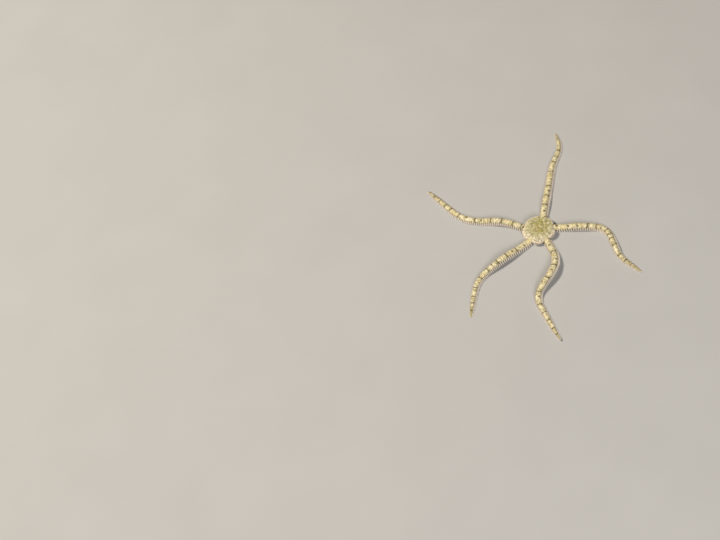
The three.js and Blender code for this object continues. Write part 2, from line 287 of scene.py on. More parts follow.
class ArmPath:
    """The line of an arm's underside, from the mouth out to the tip."""

    STEP = 0.5
    NEAR = 0.1  # a slope is measured so far to both sides

    def __init__(self, index, arm):
        self.index = index
        self.arm = arm
        self.length = arm["length"]
        self.base = math.radians(arm["base"])
        middles = np.arange(self.STEP / 2, self.length + 2, self.STEP)
        heading = self.heading(middles)
        self.at = np.arange(len(middles) + 1) * self.STEP
        root = ray(arm["base"], ARM_ROOT)
        self.x = root[0] + np.concatenate([[0], np.cumsum(np.cos(heading) * self.STEP)])
        self.y = root[1] + np.concatenate([[0], np.cumsum(np.sin(heading) * self.STEP)])
        self.ends = self.joint_ends()

    def heading(self, s):
        degrees = np.full(np.shape(s), float(self.arm["heading"]))
        for at, turn, over in self.arm["bends"]:
            degrees = degrees + turn * smooth(s, at - over / 2, at + over / 2)
        return np.where(s < 0, self.base, np.radians(degrees))

    def lift(self, s):
        """Height of the underside off the ground, which is none beside the disc."""
        height = np.zeros(np.shape(s))
        for at, rise, over in self.arm["lifts"]:
            share = np.minimum(np.abs(s - at) / over, 0.5)
            height = height + rise * (0.5 + 0.5 * np.cos(2 * math.pi * share))
        return height * smooth(s, -1, 3)

    def axes(self, s):
        """Places on the underside, with the directions forward, to the left and up there."""
        s = np.atleast_1d(np.asarray(s, float))
        inner = np.minimum(s, 0)
        x = np.interp(s, self.at, self.x) + inner * math.cos(self.base)
        y = np.interp(s, self.at, self.y) + inner * math.sin(self.base)
        slope = (self.lift(s + self.NEAR) - self.lift(s - self.NEAR)) / (2 * self.NEAR)
        heading = self.heading(s)
        forward = unit(np.stack([np.cos(heading), np.sin(heading), slope], -1))
        left = np.stack([-np.sin(heading), np.cos(heading), np.zeros_like(s)], -1)
        origin = np.stack([x, y, self.lift(s)], -1) + DISC_CENTRE
        return origin, forward, left, np.cross(forward, left)

    def size(self, s):
        """Shares of the root's width and height, lower and narrower again under the disc."""
        s = np.asarray(s, float)
        under = smooth(-s, 0, -ARM_INNER)
        even = taper(s / self.length)
        return even * (1 - UNDER_DISC["narrower"] * under), even * (1 - UNDER_DISC["lower"] * under)

    def joint_ends(self):
        count = round(self.length / JOINT_MEAN)
        share = np.arange(count + 1) / count
        return self.length * (share + JOINT_SPREAD * share * (1 - share))

    def joint_of(self, s):
        return np.clip(np.searchsorted(self.ends, s, side="right") - 1, 0, len(self.ends) - 2)

    def bands(self):
        """How dark each joint is: fully where a band lies on it, and faintly beside that."""
        dark = np.zeros(len(self.ends) - 1)
        for joint in self.joint_of(self.arm["bands"]):
            beside = slice(max(joint - 1, 0), joint + 2)
            dark[beside] = np.maximum(dark[beside], FAINT_BAND)
            dark[joint] = 1
        return dark

    def spots(self):
        """For each joint, whether a lone spot lies on it, and on which side."""
        dark, side = np.zeros((2, len(self.ends) - 1))
        for at, across in self.arm["spots"]:
            dark[self.joint_of(at)] = 1
            side[self.joint_of(at)] = across
        return dark, side

    def on_unwrap(self, s, angle):
        """Place of a point of the arm on the flat unwrap: along its strip and round its section."""
        u = STRIP["left"] + STRIP["per_mm"] * (np.asarray(s) - ARM_INNER + 1)
        turn = np.asarray(angle) / (2 * math.pi) + 0.25
        v = STRIP["low"] + STRIP["apart"] * self.index + STRIP["high"] * turn
        return np.stack(np.broadcast_arrays(u, v), -1)


PATHS = [ArmPath(index, arm) for index, arm in enumerate(ARMS.values())]
BASES = sorted(arm["base"] % 360 for arm in ARMS.values())
BETWEEN_ARMS = [(base + after) / 2 for base, after in zip(BASES, BASES[1:] + [BASES[0] + 360])]


def section(angle, half=ARM_HALF, height=ARM_HEIGHT):
    """Place and outward direction on an arm's section: a squarish oval with its underside cut flat."""
    angle = np.asarray(angle, float)
    side, rise = np.cos(angle), np.sin(angle)
    power = np.where(rise > 0, ARM_SHOULDER, 1.0)
    deep = np.where(rise > 0, (1 - ARM_SIDE) * height, 0.5 * height)
    up = np.maximum(ARM_SIDE * height + deep * np.sign(rise) * np.abs(rise)**power, 0)
    flat = up <= 0
    place = np.stack([half * np.sign(side) * np.abs(side)**power, up], -1)
    across = np.sign(side) * np.abs(side)**(2 - power) / half
    upward = np.sign(rise) * np.abs(rise)**(2 - power) / deep
    return place, unit(np.stack([np.where(flat, 0, across), np.where(flat, -1, upward)], -1))


# Materials


def linear(hex_colour):
    """An sRGB hex value as the linear colour that the shaders take."""
    parts = [int(hex_colour[i:i + 2], 16) / 255 for i in (1, 3, 5)]
    return [c / 12.92 if c <= 0.04045 else ((c + 0.055) / 1.055) ** 2.4 for c in parts] + [1.0]


def wire(tree, node, inputs):
    """Sets a node's inputs to plain values, hex colours, sockets, or nodes whose first output is meant."""
    for name, value in inputs.items():
        if isinstance(name, int):
            socket = node.inputs[name]
        else:
            socket = next(s for s in node.inputs if s.enabled and s.name == name)
        if isinstance(value, bpy.types.Node):
            value = next(s for s in value.outputs if s.enabled)
        if isinstance(value, bpy.types.NodeSocket):
            tree.links.new(value, socket)
        else:
            coloured = isinstance(value, str) and value.startswith("#")
            socket.default_value = linear(value) if coloured else value


def add(tree, kind, inputs=None, **settings):
    """Adds a node with its settings and its inputs."""
    node = tree.nodes.new(kind)
    for name, value in settings.items():
        setattr(node, name, value)
    wire(tree, node, inputs or {})
    return node


def painted(tree, ground, *coats):
    """A ground colour under coats, each one or more shares that are multiplied, and then its colour."""
    result = ground
    for share, *others, colour in coats:
        for other in others:
            share = add(tree, "ShaderNodeMath", {0: share, 1: other}, operation="MULTIPLY")
        result = add(tree, "ShaderNodeMix", {"Factor": share, "A": result, "B": colour}, data_type="RGBA")
    return result


def grain(tree, width, detail=2.0):
    """Noise from 0 to 1 with features so many millimetres wide."""
    place = add(tree, "ShaderNodeTexCoord").outputs["Object"]
    return add(tree, "ShaderNodeTexNoise", {"Vector": place, "Scale": 1 / (width * METRES), "Detail": detail})


def patches(tree, width, start, end, most=1.0, detail=4.0):
    """Shares of a coat that lies in patches: none where the noise is below start, most of it above end."""
    return add(tree, "ShaderNodeMapRange", {
        "Value": grain(tree, width, detail), "From Min": start, "From Max": end, "To Max": most,
    }, interpolation_type="SMOOTHSTEP")


def cells(tree, width, start, end, most=1.0):
    """Shares of a coat on some of many ragged cells: none on those drawn below start, most above end."""
    finer, wander = 2.5, 0.8  # of the noise that makes the cells ragged, against their width
    place = add(tree, "ShaderNodeTexCoord").outputs["Object"]
    ragged = add(tree, "ShaderNodeTexNoise", {"Vector": place, "Scale": finer / (width * METRES)})
    moved = add(tree, "ShaderNodeVectorMath", {
        0: ragged.outputs["Color"], 1: (wander * width * METRES,) * 3, 2: place,
    }, operation="MULTIPLY_ADD")
    cell = add(tree, "ShaderNodeTexVoronoi", {"Vector": moved, "Scale": 1 / (width * METRES)})
    drawn = add(tree, "ShaderNodeSeparateXYZ", {"Vector": cell.outputs["Color"]})
    return add(tree, "ShaderNodeMapRange", {
        "Value": drawn, "From Min": start, "From Max": end, "To Max": most,
    }, interpolation_type="SMOOTHSTEP")


def where(tree, name, start=0.0, end=1.0, least=0.0, most=1.0):
    """Shares of a coat that follow a value kept on the mesh."""
    value = add(tree, "ShaderNodeAttribute", attribute_name=name).outputs["Fac"]
    return add(tree, "ShaderNodeMapRange", {
        "Value": value, "From Min": start, "From Max": end, "To Min": least, "To Max": most,
    }, interpolation_type="SMOOTHSTEP")


def new_material(name, roughness, specular, pits=None, depth=0.05, strength=0.6, detail=2.0):
    """A material, its tree and its shader, roughened by pits so many millimetres wide and deep.

    Real calcite is pitted at about 0.02 mm, far too fine to show, so all pits here are coarser.
    """
    material = bpy.data.materials.new(name)
    material.use_nodes = True
    tree = material.node_tree
    shader = tree.nodes["Principled BSDF"]
    wire(tree, shader, {"Roughness": roughness, "Specular IOR Level": specular})
    if pits:
        rough = add(tree, "ShaderNodeBump", {
            "Height": grain(tree, pits, detail), "Distance": depth * METRES, "Strength": strength,
        })
        wire(tree, shader, {"Normal": rough})
    return material, tree, shader


def spot_share(tree):
    """Shares of a lone dark spot, up to 0.3 of its plate's width to one side and longer than wide."""
    across = add(tree, "ShaderNodeAttribute", attribute_name="across").outputs["Fac"]
    along = add(tree, "ShaderNodeAttribute", attribute_name="along").outputs["Fac"]
    side = add(tree, "ShaderNodeAttribute", attribute_name="spot_side").outputs["Fac"]
    away = add(tree, "ShaderNodeCombineXYZ", {
        "X": add(tree, "ShaderNodeMath", {0: side, 1: 0.3, 2: across}, operation="MULTIPLY_ADD"),
        "Y": add(tree, "ShaderNodeMath", {0: along, 1: 0.4}, operation="MULTIPLY"),
    })
    distance = add(tree, "ShaderNodeVectorMath", {0: away}, operation="LENGTH").outputs["Value"]
    return add(tree, "ShaderNodeMapRange", {
        "Value": distance, "From Min": 0.1, "From Max": 0.25, "To Min": 1.0, "To Max": 0.0,
    })


def plate_colour(tree):
    """Greenish cream with olive mottles, paler at worn edges, under olive-brown bands and spots.

    Each pattern is as wide as on the animal: tones of 5 mm, mottles of 1.2 mm and flecks of 0.7 mm.
    """
    across = add(tree, "ShaderNodeAttribute", attribute_name="across").outputs["Fac"]
    off_middle = add(tree, "ShaderNodeMath", {0: across}, operation="ABSOLUTE")
    darker_sides = add(tree, "ShaderNodeMapRange", {
        "Value": off_middle, "From Min": 0.1, "From Max": 0.4, "To Min": 0.7,
    })
    far_end = where(tree, "along", -0.25, -0.05)
    return painted(
        tree, "#D5C48C",
        (patches(tree, 5.0, 0.42, 0.58, 0.6), "#E1D3A3"),
        (where(tree, "tint", most=0.35), "#ECDFB8"),
        (cells(tree, 1.2, 0.62, 0.68, 0.75), "#948A55"),
        (cells(tree, 1.25, 0.62, 0.7, 0.7), "#F6ECCA"),
        (where(tree, "edge", most=0.2), "#F1E8CA"),
        (patches(tree, 0.7, 0.56, 0.63, 0.8), "#6F673B"),
        (where(tree, "band"), darker_sides, patches(tree, 0.9, 0.24, 0.44), far_end, "#433E24"),
        (where(tree, "spot"), spot_share(tree), patches(tree, 0.5, 0.2, 0.5), "#4C462A"),
    )


def back_plate_material():
    """Calcite plates under thin skin: matt and mottled, with a faint sheen where they are worn."""
    material, tree, shader = new_material(
        "mottled calcite plate", roughness=0.6, specular=0.3, pits=0.16, detail=3.0,
    )
    wire(tree, shader, {"Base Color": plate_colour(tree)})
    return material


def side_plate_material():
    """The arm's flank plates: the back's cream above, and painted shade below it, olive-brown and darkest low
    down, for the shadow between the combs of spines.
    """
    material, tree, shader = new_material(
        "flank plate with painted shade", roughness=0.56, specular=0.35, pits=0.16, detail=3.0,
    )
    colour = painted(
        tree, plate_colour(tree),
        # Painted shade: the flank darkens below its shoulder, darkest in patches low down, where the shadow
        # between the combs falls
        (where(tree, "across", 0.42, 0.2, 0.0, 0.95), "#6F6338"),
        (where(tree, "across", 0.2, -0.1), patches(tree, 0.8, 0.3, 0.55), "#42391D"),
    )
    wire(tree, shader, {"Base Color": colour})
    return material


def belly_plate_material():
    """The pale plates of the underside: bone white and smooth, some of them warmer in tone."""
    material, tree, shader = new_material(
        "bone-white belly plate", roughness=0.48, specular=0.4, pits=0.2, depth=0.04, strength=0.5,
    )
    colour = painted(
        tree, "#DCCFA9",
        (where(tree, "tint", most=0.6), "#EBE1C4"),
        (patches(tree, 1.5, 0.5, 0.65, 0.4), "#CBB98C"),
        (where(tree, "band", most=0.4), "#9A9163"),
        (where(tree, "edge", most=0.4), "#F2EAD2"),
    )
    wire(tree, shader, {"Base Color": colour})
    return material


def spine_material():
    """Calcite spines: whitish pink pegs, glassier than the plates and brown only at their roots."""
    material, tree, shader = new_material(
        "pale calcite spine", roughness=0.36, specular=0.5, pits=0.1, depth=0.02, strength=0.4,
    )
    colour = painted(
        tree, "#B9A673",
        (where(tree, "along", -0.48, -0.15), "#FFF3E0"),
        (where(tree, "tint", most=0.3), "#F6E0C6"),
    )
    wire(tree, shader, {"Base Color": colour})
    return material


def reach_share(tree, start, end, most=1.0):
    """Shares of a coat that grow from one ragged distance from the yellow middle to another."""
    ragged = 3  # millimetres that the distance moves in or out
    place = add(tree, "ShaderNodeTexCoord").outputs["Object"]
    centred = add(tree, "ShaderNodeVectorMath", {
        0: place, 1: tuple(YELLOW_MIDDLE * METRES),
    }, operation="SUBTRACT")
    flat = add(tree, "ShaderNodeVectorMath", {0: centred, 1: (1.0, 1.0, 0.0)}, operation="MULTIPLY")
    reach = add(tree, "ShaderNodeVectorMath", {0: flat}, operation="LENGTH").outputs["Value"]
    moved = add(tree, "ShaderNodeMath", {
        0: grain(tree, 3.5, detail=3.0), 1: 2 * ragged * METRES, 2: reach,
    }, operation="MULTIPLY_ADD")
    return add(tree, "ShaderNodeMapRange", {
        "Value": moved, "From Min": (start + ragged) * METRES, "From Max": (end + ragged) * METRES,
        "To Max": most,
    }, interpolation_type="SMOOTHSTEP")


def disc_colour(tree):
    """Olive yellow in the middle of the disc and grey pink on its lobes, freckled dark green and cream.

    The freckles are about a millimetre wide, as on the animal.
    """
    return painted(
        tree, "#B5A658",
        (reach_share(tree, 4.5, 9.0), "#CDC394"),
        (reach_share(tree, 8.5, 12.0, 0.85), "#E2D6BE"),
        (patches(tree, 2.6, 0.5, 0.64, 0.5), "#BDB984"),
        (cells(tree, 1.05, 0.64, 0.72, 0.75), "#F4EBC6"),
        (cells(tree, 0.95, 0.68, 0.74, 0.75), "#8A8450"),
        (patches(tree, 0.75, 0.57, 0.63, 0.9), "#4A4A2B"),
    )


def skin_material():
    """Thin granular skin: olive over the disc, red brown in the mouth, and darker in the grooves of the arms
    as painted shade, with the arms' bands darker still.
    """
    material, tree, shader = new_material(
        "granular skin", roughness=0.62, specular=0.3, pits=0.3, depth=0.08, detail=3.0,
    )
    # Painted shade: the arms' skin shows only in the grooves between plates and combs, so it is darkened for
    # the shade there; the bands on it are the animal's own marking
    groove = painted(tree, "#8C8152", (where(tree, "band"), "#4A4428"))
    colour = painted(
        tree, disc_colour(tree),
        (0.3, "#766C42"),
        (where(tree, "on_arm"), groove),
        (where(tree, "slit", most=0.9), "#4B3524"),
        (where(tree, "deep", most=0.95), "#5A3426"),
    )
    wire(tree, shader, {"Base Color": colour})
    return material


def granule_material():
    """Calcite granules in the skin: the disc's markings, each grain a little lighter or darker."""
    material, tree, shader = new_material("calcite granule", roughness=0.55, specular=0.35)
    colour = painted(
        tree, disc_colour(tree),
        (where(tree, "tint", 0.55, 1.0, 0.0, 0.55), "#EDE5C4"),
        (where(tree, "tint", 0.25, 0.0, 0.0, 0.5), "#7F7850"),
    )
    wire(tree, shader, {"Base Color": colour})
    return material


def belly_grain_material():
    """The granules of the underside: the same calcite, pale and plain."""
    material, tree, shader = new_material("pale calcite granule", roughness=0.55, specular=0.35)
    colour = painted(
        tree, "#D2C49B",
        (patches(tree, 2.0, 0.45, 0.62), "#BDAF80"),
        (where(tree, "tint", most=0.6), "#E6DDBD"),
    )
    wire(tree, shader, {"Base Color": colour})
    return material


def rim_material():
    """Bare scales along the disc's edge: pinkish white, smoother than the granules, whitest outermost."""
    material, tree, shader = new_material(
        "pale rim scale", roughness=0.42, specular=0.45, pits=0.2, depth=0.04,
    )
    white = painted(
        tree, "#F6E2CE",
        (where(tree, "tint", 0.3, 1.0, 0.0, 0.6), "#E6D5AE"),
        (patches(tree, 0.9, 0.6, 0.66, 0.5), "#A39C6E"),
    )
    wire(tree, shader, {"Base Color": painted(tree, disc_colour(tree), (where(tree, "pale"), white))})
    return material


def shield_material():
    """Bare plates of the disc above the arms: worn calcite, ever creamier towards the arms."""
    material, tree, shader = new_material("worn cream shield", roughness=0.44, specular=0.42, pits=0.25)
    colour = painted(
        tree, disc_colour(tree),
        (0.2, "#D8CDA0"),
        (where(tree, "edge", most=0.25), "#B5AC78"),
        (where(tree, "pale"), "#D8CC9A"),
    )
    wire(tree, shader, {"Base Color": colour})
    return material


def jaw_material():
    """Jaw plates and teeth: satin bone, a little yellow in their seats and worn white at the edges."""
    material, tree, shader = new_material(
        "satin bone jaw", roughness=0.34, specular=0.5, pits=0.2, depth=0.03, strength=0.4,
    )
    colour = painted(
        tree, "#DDCDA2",
        (patches(tree, 0.8, 0.45, 0.65, 0.6), "#C9B582"),
        (where(tree, "tint", most=0.4), "#EFE6CE"),
        (where(tree, "edge", most=0.5), "#F6F0DF"),
    )
    wire(tree, shader, {"Base Color": colour})
    return material


# Meshes


def new_mesh(name, places, faces, **values):
    """A mesh of points and faces, with float, pair or vector values on its points."""
    mesh = bpy.data.meshes.new(name)
    mesh.from_pydata(np.asarray(places, float).tolist(), [], faces)
    kinds = {1: ("FLOAT", "value"), 2: ("FLOAT2", "vector"), 3: ("FLOAT_VECTOR", "vector")}
    for key, value in values.items():
        value = np.asarray(value, np.float32)
        kind, field = kinds[1 if value.ndim == 1 else value.shape[1]]
        mesh.attributes.new(key, kind, "POINT").data.foreach_set(field, value.ravel())
    return mesh


def linked(name, data):
    """A new object in the scene."""
    made = bpy.data.objects.new(name, data)
    bpy.context.scene.collection.objects.link(made)
    return made


def evaluated(made):
    """The plain mesh that an object's modifiers make, with the object itself removed."""
    seen = made.evaluated_get(bpy.context.evaluated_depsgraph_get())
    mesh = bpy.data.meshes.new_from_object(seen)
    bpy.data.objects.remove(made)
    return mesh


def add_piece(name, mesh, material, replaced=()):
    """A finished piece in metres, riding on the body, with its material and the solids it stands for."""
    mesh.transform(Matrix.Scale(METRES, 4))
    mesh.materials.clear()
    mesh.materials.append(material)
    mesh.polygons.foreach_set("use_smooth", [True] * len(mesh.polygons))
    piece = linked(name, mesh)
    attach(piece, "root")
    if replaced:
        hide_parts(*replaced)


def tube_faces(rings, around):
    """Quads between rings of points that are joined round, without the end caps."""
    faces = []
    for r in range(rings - 1):
        for i in range(around):
            j = (i + 1) % around
            faces.append((r * around + i, (r + 1) * around + i, (r + 1) * around + j, r * around + j))
    return faces


def closed_tube_faces(rings, around):
    """The tube with a flat face over each end."""
    last = (rings - 1) * around
    return tube_faces(rings, around) + [
        tuple(range(around)), tuple(range(last + around - 1, last - 1, -1)),
    ]


def outwards(mesh):
    """Turns the faces of a closed mesh, or of one of closed parts, outwards where its volume is negative."""
    places = np.zeros(len(mesh.vertices) * 3)
    mesh.vertices.foreach_get("co", places)
    places = places.reshape(-1, 3)
    places = places - places.mean(axis=0)
    mesh.calc_loop_triangles()
    corners = np.zeros(len(mesh.loop_triangles) * 3, np.int64)
    mesh.loop_triangles.foreach_get("vertices", corners)
    a, b, c = (places[corners.reshape(-1, 3)[:, i]] for i in range(3))
    if np.einsum("ij,ij->", a, np.cross(b, c)) < 0:
        mesh.flip_normals()
    return mesh


def set_unwrap(mesh, places):
    """Gives the mesh its flat unwrap, from a place for each point, mended where a strip closes round."""
    corners = np.zeros(len(mesh.loops), np.int64)
    mesh.loops.foreach_get("vertex_index", corners)
    flat = places[corners]
    half = STRIP["high"] / 2
    for polygon in mesh.polygons:
        part = flat[polygon.loop_start:polygon.loop_start + polygon.loop_total]
        top = part[:, 1].max()
        if np.ptp(part[:, 1]) > half and top < STRIPS_TOP:
            part[part[:, 1] < top - half, 1] += STRIP["high"]
    mesh.uv_layers.new(name="OFBake").uv.foreach_set("vector", flat.astype(np.float32).ravel())
    return mesh


# The disc's surface


def nearest_arm(degrees):
    return np.min([apart(degrees, base) for base in BASES], axis=0)


def disc_radius(degrees):
    """Reach of the disc's edge, with its notches, its uneven lobes and their scallops."""
    near = nearest_arm(degrees)
    reach = DISC_RADIUS - DISC_NOTCH * np.exp(-((near / NOTCH_WIDTH) ** 2))
    for at, more, over in LOBES:
        reach = reach + more * np.exp(-((apart(degrees, at) / over) ** 2))
    turn = np.radians(degrees)
    # No two scallops are alike in width
    uneven = 0.9 * np.sin(3 * turn + 1) + 0.6 * np.sin(7 * turn)
    cusps = 1 - np.abs(np.sin(SCALLOPS["count"] / 2 * turn + uneven))
    return reach - SCALLOPS["deep"] * cusps * smooth(near, SCALLOPS["start"], SCALLOPS["full"])


def disc_height(share, degrees):
    """Height of the disc's back: an even dome with a low pair of humps above each arm."""
    height = DISC_RIM + (DISC_TOP - DISC_RIM) * np.sqrt(np.maximum(1 - share**BACK_POWER, 0))
    for base in BASES:
        across = (apart(degrees, base) - SHIELD_HUMP["apart"]) / SHIELD_HUMP["wide"]
        along = (share - SHIELD_HUMP["along"]) / SHIELD_HUMP["long"]
        height = height + SHIELD_HUMP["rise"] * np.exp(-(across**2) - along**2)
    return height


def around_disc(share, degrees, height):
    """Places at a share of the disc's reach."""
    return ray(degrees, share * disc_radius(degrees), height) + DISC_CENTRE


def on_patch(middle, share, degrees):
    """Place on one of the unwrap's round patches."""
    return ray(degrees, share * DISC_RADIUS * PATCH_PER_MM)[..., :2] + middle


def on_back(points):
    """Seats points of the ground plan on the disc's back: places, outward directions and unwrap."""
    def height(moved):
        reach, degrees = polar(moved)
        return disc_height(reach / disc_radius(degrees), degrees)

    step = 0.05
    slope = [(height(points + move) - height(points - move)) / (2 * step) for move in step * np.eye(2)]
    out = unit(np.stack([-slope[0], -slope[1], np.ones(len(points))], -1))
    reach, degrees = polar(points)
    flat = on_patch(BACK_PATCH, reach / disc_radius(degrees), degrees)
    return np.column_stack([points, height(points)]) + DISC_CENTRE, out, flat


def on_underside(points, level=DISC_BELLY):
    """Seats points of the ground plan on the flat of the underside."""
    reach, degrees = polar(points)
    place = np.column_stack([points, np.full(len(points), level)]) + DISC_CENTRE
    out = np.tile(DOWN, (len(points), 1))
    return place, out, on_patch(BELLY_PATCH, reach / DISC_RADIUS, degrees)


def on_jaws(points):
    """Seats points of the ground plan in the mouth, above the jaws' lower face."""
    return on_underside(points, JAW_LOW + JAW_RISE)


# Rows of points on the disc, their count around it, the share of the radius at which the innermost rows
# close, and the lumps of its back
DISC_TURNS = 360
BACK_ROWS = 44
EDGE_ROWS = 10
BELLY_ROWS = 20
BACK_POLE = 0.02
BELLY_POLE = 0.05
LUMPS = {"high": 0.07, "wide": 1.3}


def slit_share(places):
    """Shares of the slits on the underside, one along each side of each arm."""
    share = np.zeros(places.shape[:-1])
    for base in BASES:
        along, off = beside_arm(places - DISC_CENTRE, base)
        within = smooth(along, SLIT["inner"] - SLIT["fade"], SLIT["inner"] + SLIT["fade"])
        within = within * smooth(along, SLIT["outer"] + SLIT["fade"], SLIT["outer"] - SLIT["fade"])
        share = np.maximum(share, within * np.exp(-(((off - SLIT["off"]) / SLIT["half"]) ** 2)))
    return share


def back_places():
    """Points on the back in rows from the middle to the widest edge, with their unwrap."""
    share = np.sin(np.linspace(BACK_POLE, 1, BACK_ROWS) * math.pi / 2)
    share, degrees = np.meshgrid(share, np.arange(DISC_TURNS) * 360 / DISC_TURNS, indexing="ij")
    places = around_disc(share, degrees, disc_height(share, degrees))
    lumps = [LUMPS["high"] * noise.noise(Vector(p / LUMPS["wide"])) for p in places.reshape(-1, 3)]
    places[..., 2] += np.reshape(lumps, share.shape) * (1 - share**8)  # none at the edge
    return places, on_patch(BACK_PATCH, share, degrees)


def under_places():
    """Points from below the edge to the middle of the underside, with their unwrap and the slits."""
    turn = np.linspace(0, math.pi / 2, EDGE_ROWS + 1)[1:]
    edge_share = BELLY_SHARE + (1 - BELLY_SHARE) * np.cos(turn)
    edge_height = DISC_BELLY + (DISC_RIM - DISC_BELLY) * (1 - np.sin(turn) ** EDGE_POWER)
    share = np.concatenate([edge_share, np.linspace(BELLY_SHARE, BELLY_POLE, BELLY_ROWS + 1)[1:]])
    height = np.concatenate([edge_height, np.full(BELLY_ROWS, DISC_BELLY)])
    degrees = np.arange(DISC_TURNS) * 360 / DISC_TURNS
    share, degrees, height = np.broadcast_arrays(share[:, None], degrees, height[:, None])
    places = around_disc(share, degrees, height)
    slits = slit_share(places) * (height <= DISC_BELLY)
    places[..., 2] += SLIT["deep"] * slits
    return places, on_patch(BELLY_PATCH, share, degrees), slits


# Skin: the disc and the five arms below their plates, as one closed surface with the mouth in it


def flesh(name, places, faces, flat, **marks):
    """A closed part of the skin, with its unwrap and the shares of those markings that it has."""
    marks = {"on_arm": 0.0, "band": 0.0, "slit": 0.0, "deep": 0.0} | marks
    marks = {key: np.broadcast_to(value, len(places)) for key, value in marks.items()}
    return outwards(set_unwrap(new_mesh(name, places, faces, **marks), flat))


def disc_flesh():
    back, back_flat = back_places()
    under, under_flat, slits = under_places()
    places = np.concatenate([back, under]).reshape(-1, 3)
    flat = np.concatenate([back_flat, under_flat]).reshape(-1, 2)
    slit = np.concatenate([np.zeros(back.shape[:2]), slits]).ravel()
    faces = closed_tube_faces(len(places) // DISC_TURNS, DISC_TURNS)
    return flesh("disc_flesh", places, faces, flat, slit=slit)


def arm_flesh(path, around=22):
    """One arm, out to its rounded tip, with the joints' bands marked on it."""
    under_disc = np.linspace(ARM_INNER, -JOINT_LONG, JOINTS_UNDER_DISC + 1)
    joints = np.concatenate([under_disc, path.ends])
    s = np.sort(np.concatenate([joints, (joints[1:] + joints[:-1]) / 2]))
    s = np.append(s, path.length + TIP["past"])
    closing = np.ones(len(s))
    closing[-1] = TIP["share"]
    wide, high = path.size(s)
    angle = np.arange(around) * 2 * math.pi / around - math.pi / 2
    origin, forward, left, up = path.axes(s)
    places = []
    for i in range(len(s)):
        half, height = ARM_HALF * wide[i], ARM_HEIGHT * high[i]
        spot, out = section(angle, half, height)
        spot = spot - out * FLESH_DEPTH * wide[i]
        spot = (spot - (0, ARM_SIDE * height)) * closing[i] + (0, ARM_SIDE * height)
        places.append(origin[i] + spot[:, :1] * left[i] + spot[:, 1:] * up[i])
    band = np.repeat(path.bands()[path.joint_of(s)] * (s > 0), around)
    flat = path.on_unwrap(np.repeat(s, around), np.tile(angle, len(s)))
    faces = closed_tube_faces(len(s), around)
    return flesh("arm_flesh", np.concatenate(places), faces, flat, on_arm=1.0, band=band)


def mouth_hollow():
    """The star that is cut out of the underside: wide at each jaw's seat and pointed under each arm."""
    corners = []
    for middle, after in zip(BETWEEN_ARMS, BETWEEN_ARMS[1:] + [BETWEEN_ARMS[0] + 360]):
        arm = (middle + after) / 2
        corners += [ray(middle + turn, MOUTH["seat"]) for turn in (-MOUTH["seat_half"], MOUTH["seat_half"])]
        corners += [ray(arm + turn, MOUTH["ray"]) for turn in (-MOUTH["ray_half"], MOUTH["ray_half"])]
    corners = np.array(corners)
    # From below the disc to the roof of the mouth
    levels = (-1.0, DISC_BELLY + MOUTH["deep"])
    places = np.concatenate([corners + level * UP + DISC_CENTRE for level in levels])
    flat = np.concatenate([MOUTH_PATCH + PATCH_PER_MM * size * corners[:, :2] for size in (1.0, 0.5)])
    return flesh("mouth_hollow", places, closed_tube_faces(2, len(corners)), flat, deep=1.0)


def add_skin(material):
    arms = bpy.data.collections.new("arms")
    bpy.context.scene.collection.children.link(arms)
    for path in PATHS:
        arms.objects.link(bpy.data.objects.new("arm_flesh", arm_flesh(path)))
    hollow = linked("mouth_hollow", mouth_hollow())
    body = linked("disc_flesh", disc_flesh())
    union = body.modifiers.new("one skin", "BOOLEAN")
    union.operand_type = "COLLECTION"
    union.collection = arms
    union.operation = "UNION"
    union.solver = "MANIFOLD"
    cut = body.modifiers.new("mouth", "BOOLEAN")
    cut.object = hollow
    cut.operation = "DIFFERENCE"
    cut.solver = "MANIFOLD"
    mesh = evaluated(body)
    for made in [*arms.objects, hollow]:
        bpy.data.objects.remove(made)
    bpy.data.collections.remove(arms)
    nodes = [f"{arm}_{part}" for arm in ARMS for part in LENGTHS]
    add_piece("skin", mesh, material, [*nodes, "disc"])


# Shapes that repeat, each at the size it has on the first joint of an arm


def plate_shape(name, plate, side=1):
    """A plate on an arm's section: a slab with a rolled edge that rises towards its far end."""
    roll = 0.6  # of the thickness that the edge lies lower
    worn_from = 0.8  # of the length
    t, a = np.meshgrid([0, 0.12, 0.45, 0.86, 1.0], [-1, -0.82, -0.3, 0.3, 0.82, 1.0], indexing="ij")
    narrow, thick = plate["narrow"], plate["thick"]
    half = plate["half_turn"] * (narrow + (1 - narrow) * smooth(t, 0, 0.75))
    x = JOINT_LONG * (-0.5 + (1 + plate["overlap"]) * t - plate["bow"] * a * a * t)
    rolled = (t == 0) | (t == 1) | (np.abs(a) == 1)
    lift = plate["low"] + (plate["high"] - plate["low"]) * t**1.3
    place, out = section(np.radians(plate["middle"] + half * a))
    top = place + out * np.where(rolled, lift - roll * thick, lift)[..., None]
    foot = place - out * thick
    top, foot = (np.stack([x, side * p[..., 0], p[..., 1]], -1).reshape(-1, 3) for p in (top, foot))
    grid = np.arange(t.size).reshape(t.shape)
    rim = np.concatenate([grid[0], grid[1:, -1], grid[-1, -2::-1], grid[-2:0:-1, 0]]).tolist()
    start, count = t.size, len(rim)
    corners = (grid[:-1, :-1], grid[:-1, 1:], grid[1:, 1:], grid[1:, :-1])
    faces = list(zip(*(corner.ravel().tolist() for corner in corners)))
    faces += [(rim[(i + 1) % count], rim[i], start + i, start + (i + 1) % count) for i in range(count)]
    faces.append(tuple(range(start + count - 1, start - 1, -1)))
    worn = np.where(rolled | (t > worn_from), 1.0, 0.0).ravel()
    along, across = ((part.ravel() / size) for part, size in ((t - 0.5, 1), (a, 2)))
    return outwards(new_mesh(
        name, np.concatenate([top, foot[rim]]), faces, edge=np.append(worn, np.ones(count)),
        along=np.append(along, along[rim]), across=np.append(across, across[rim]),
    ))


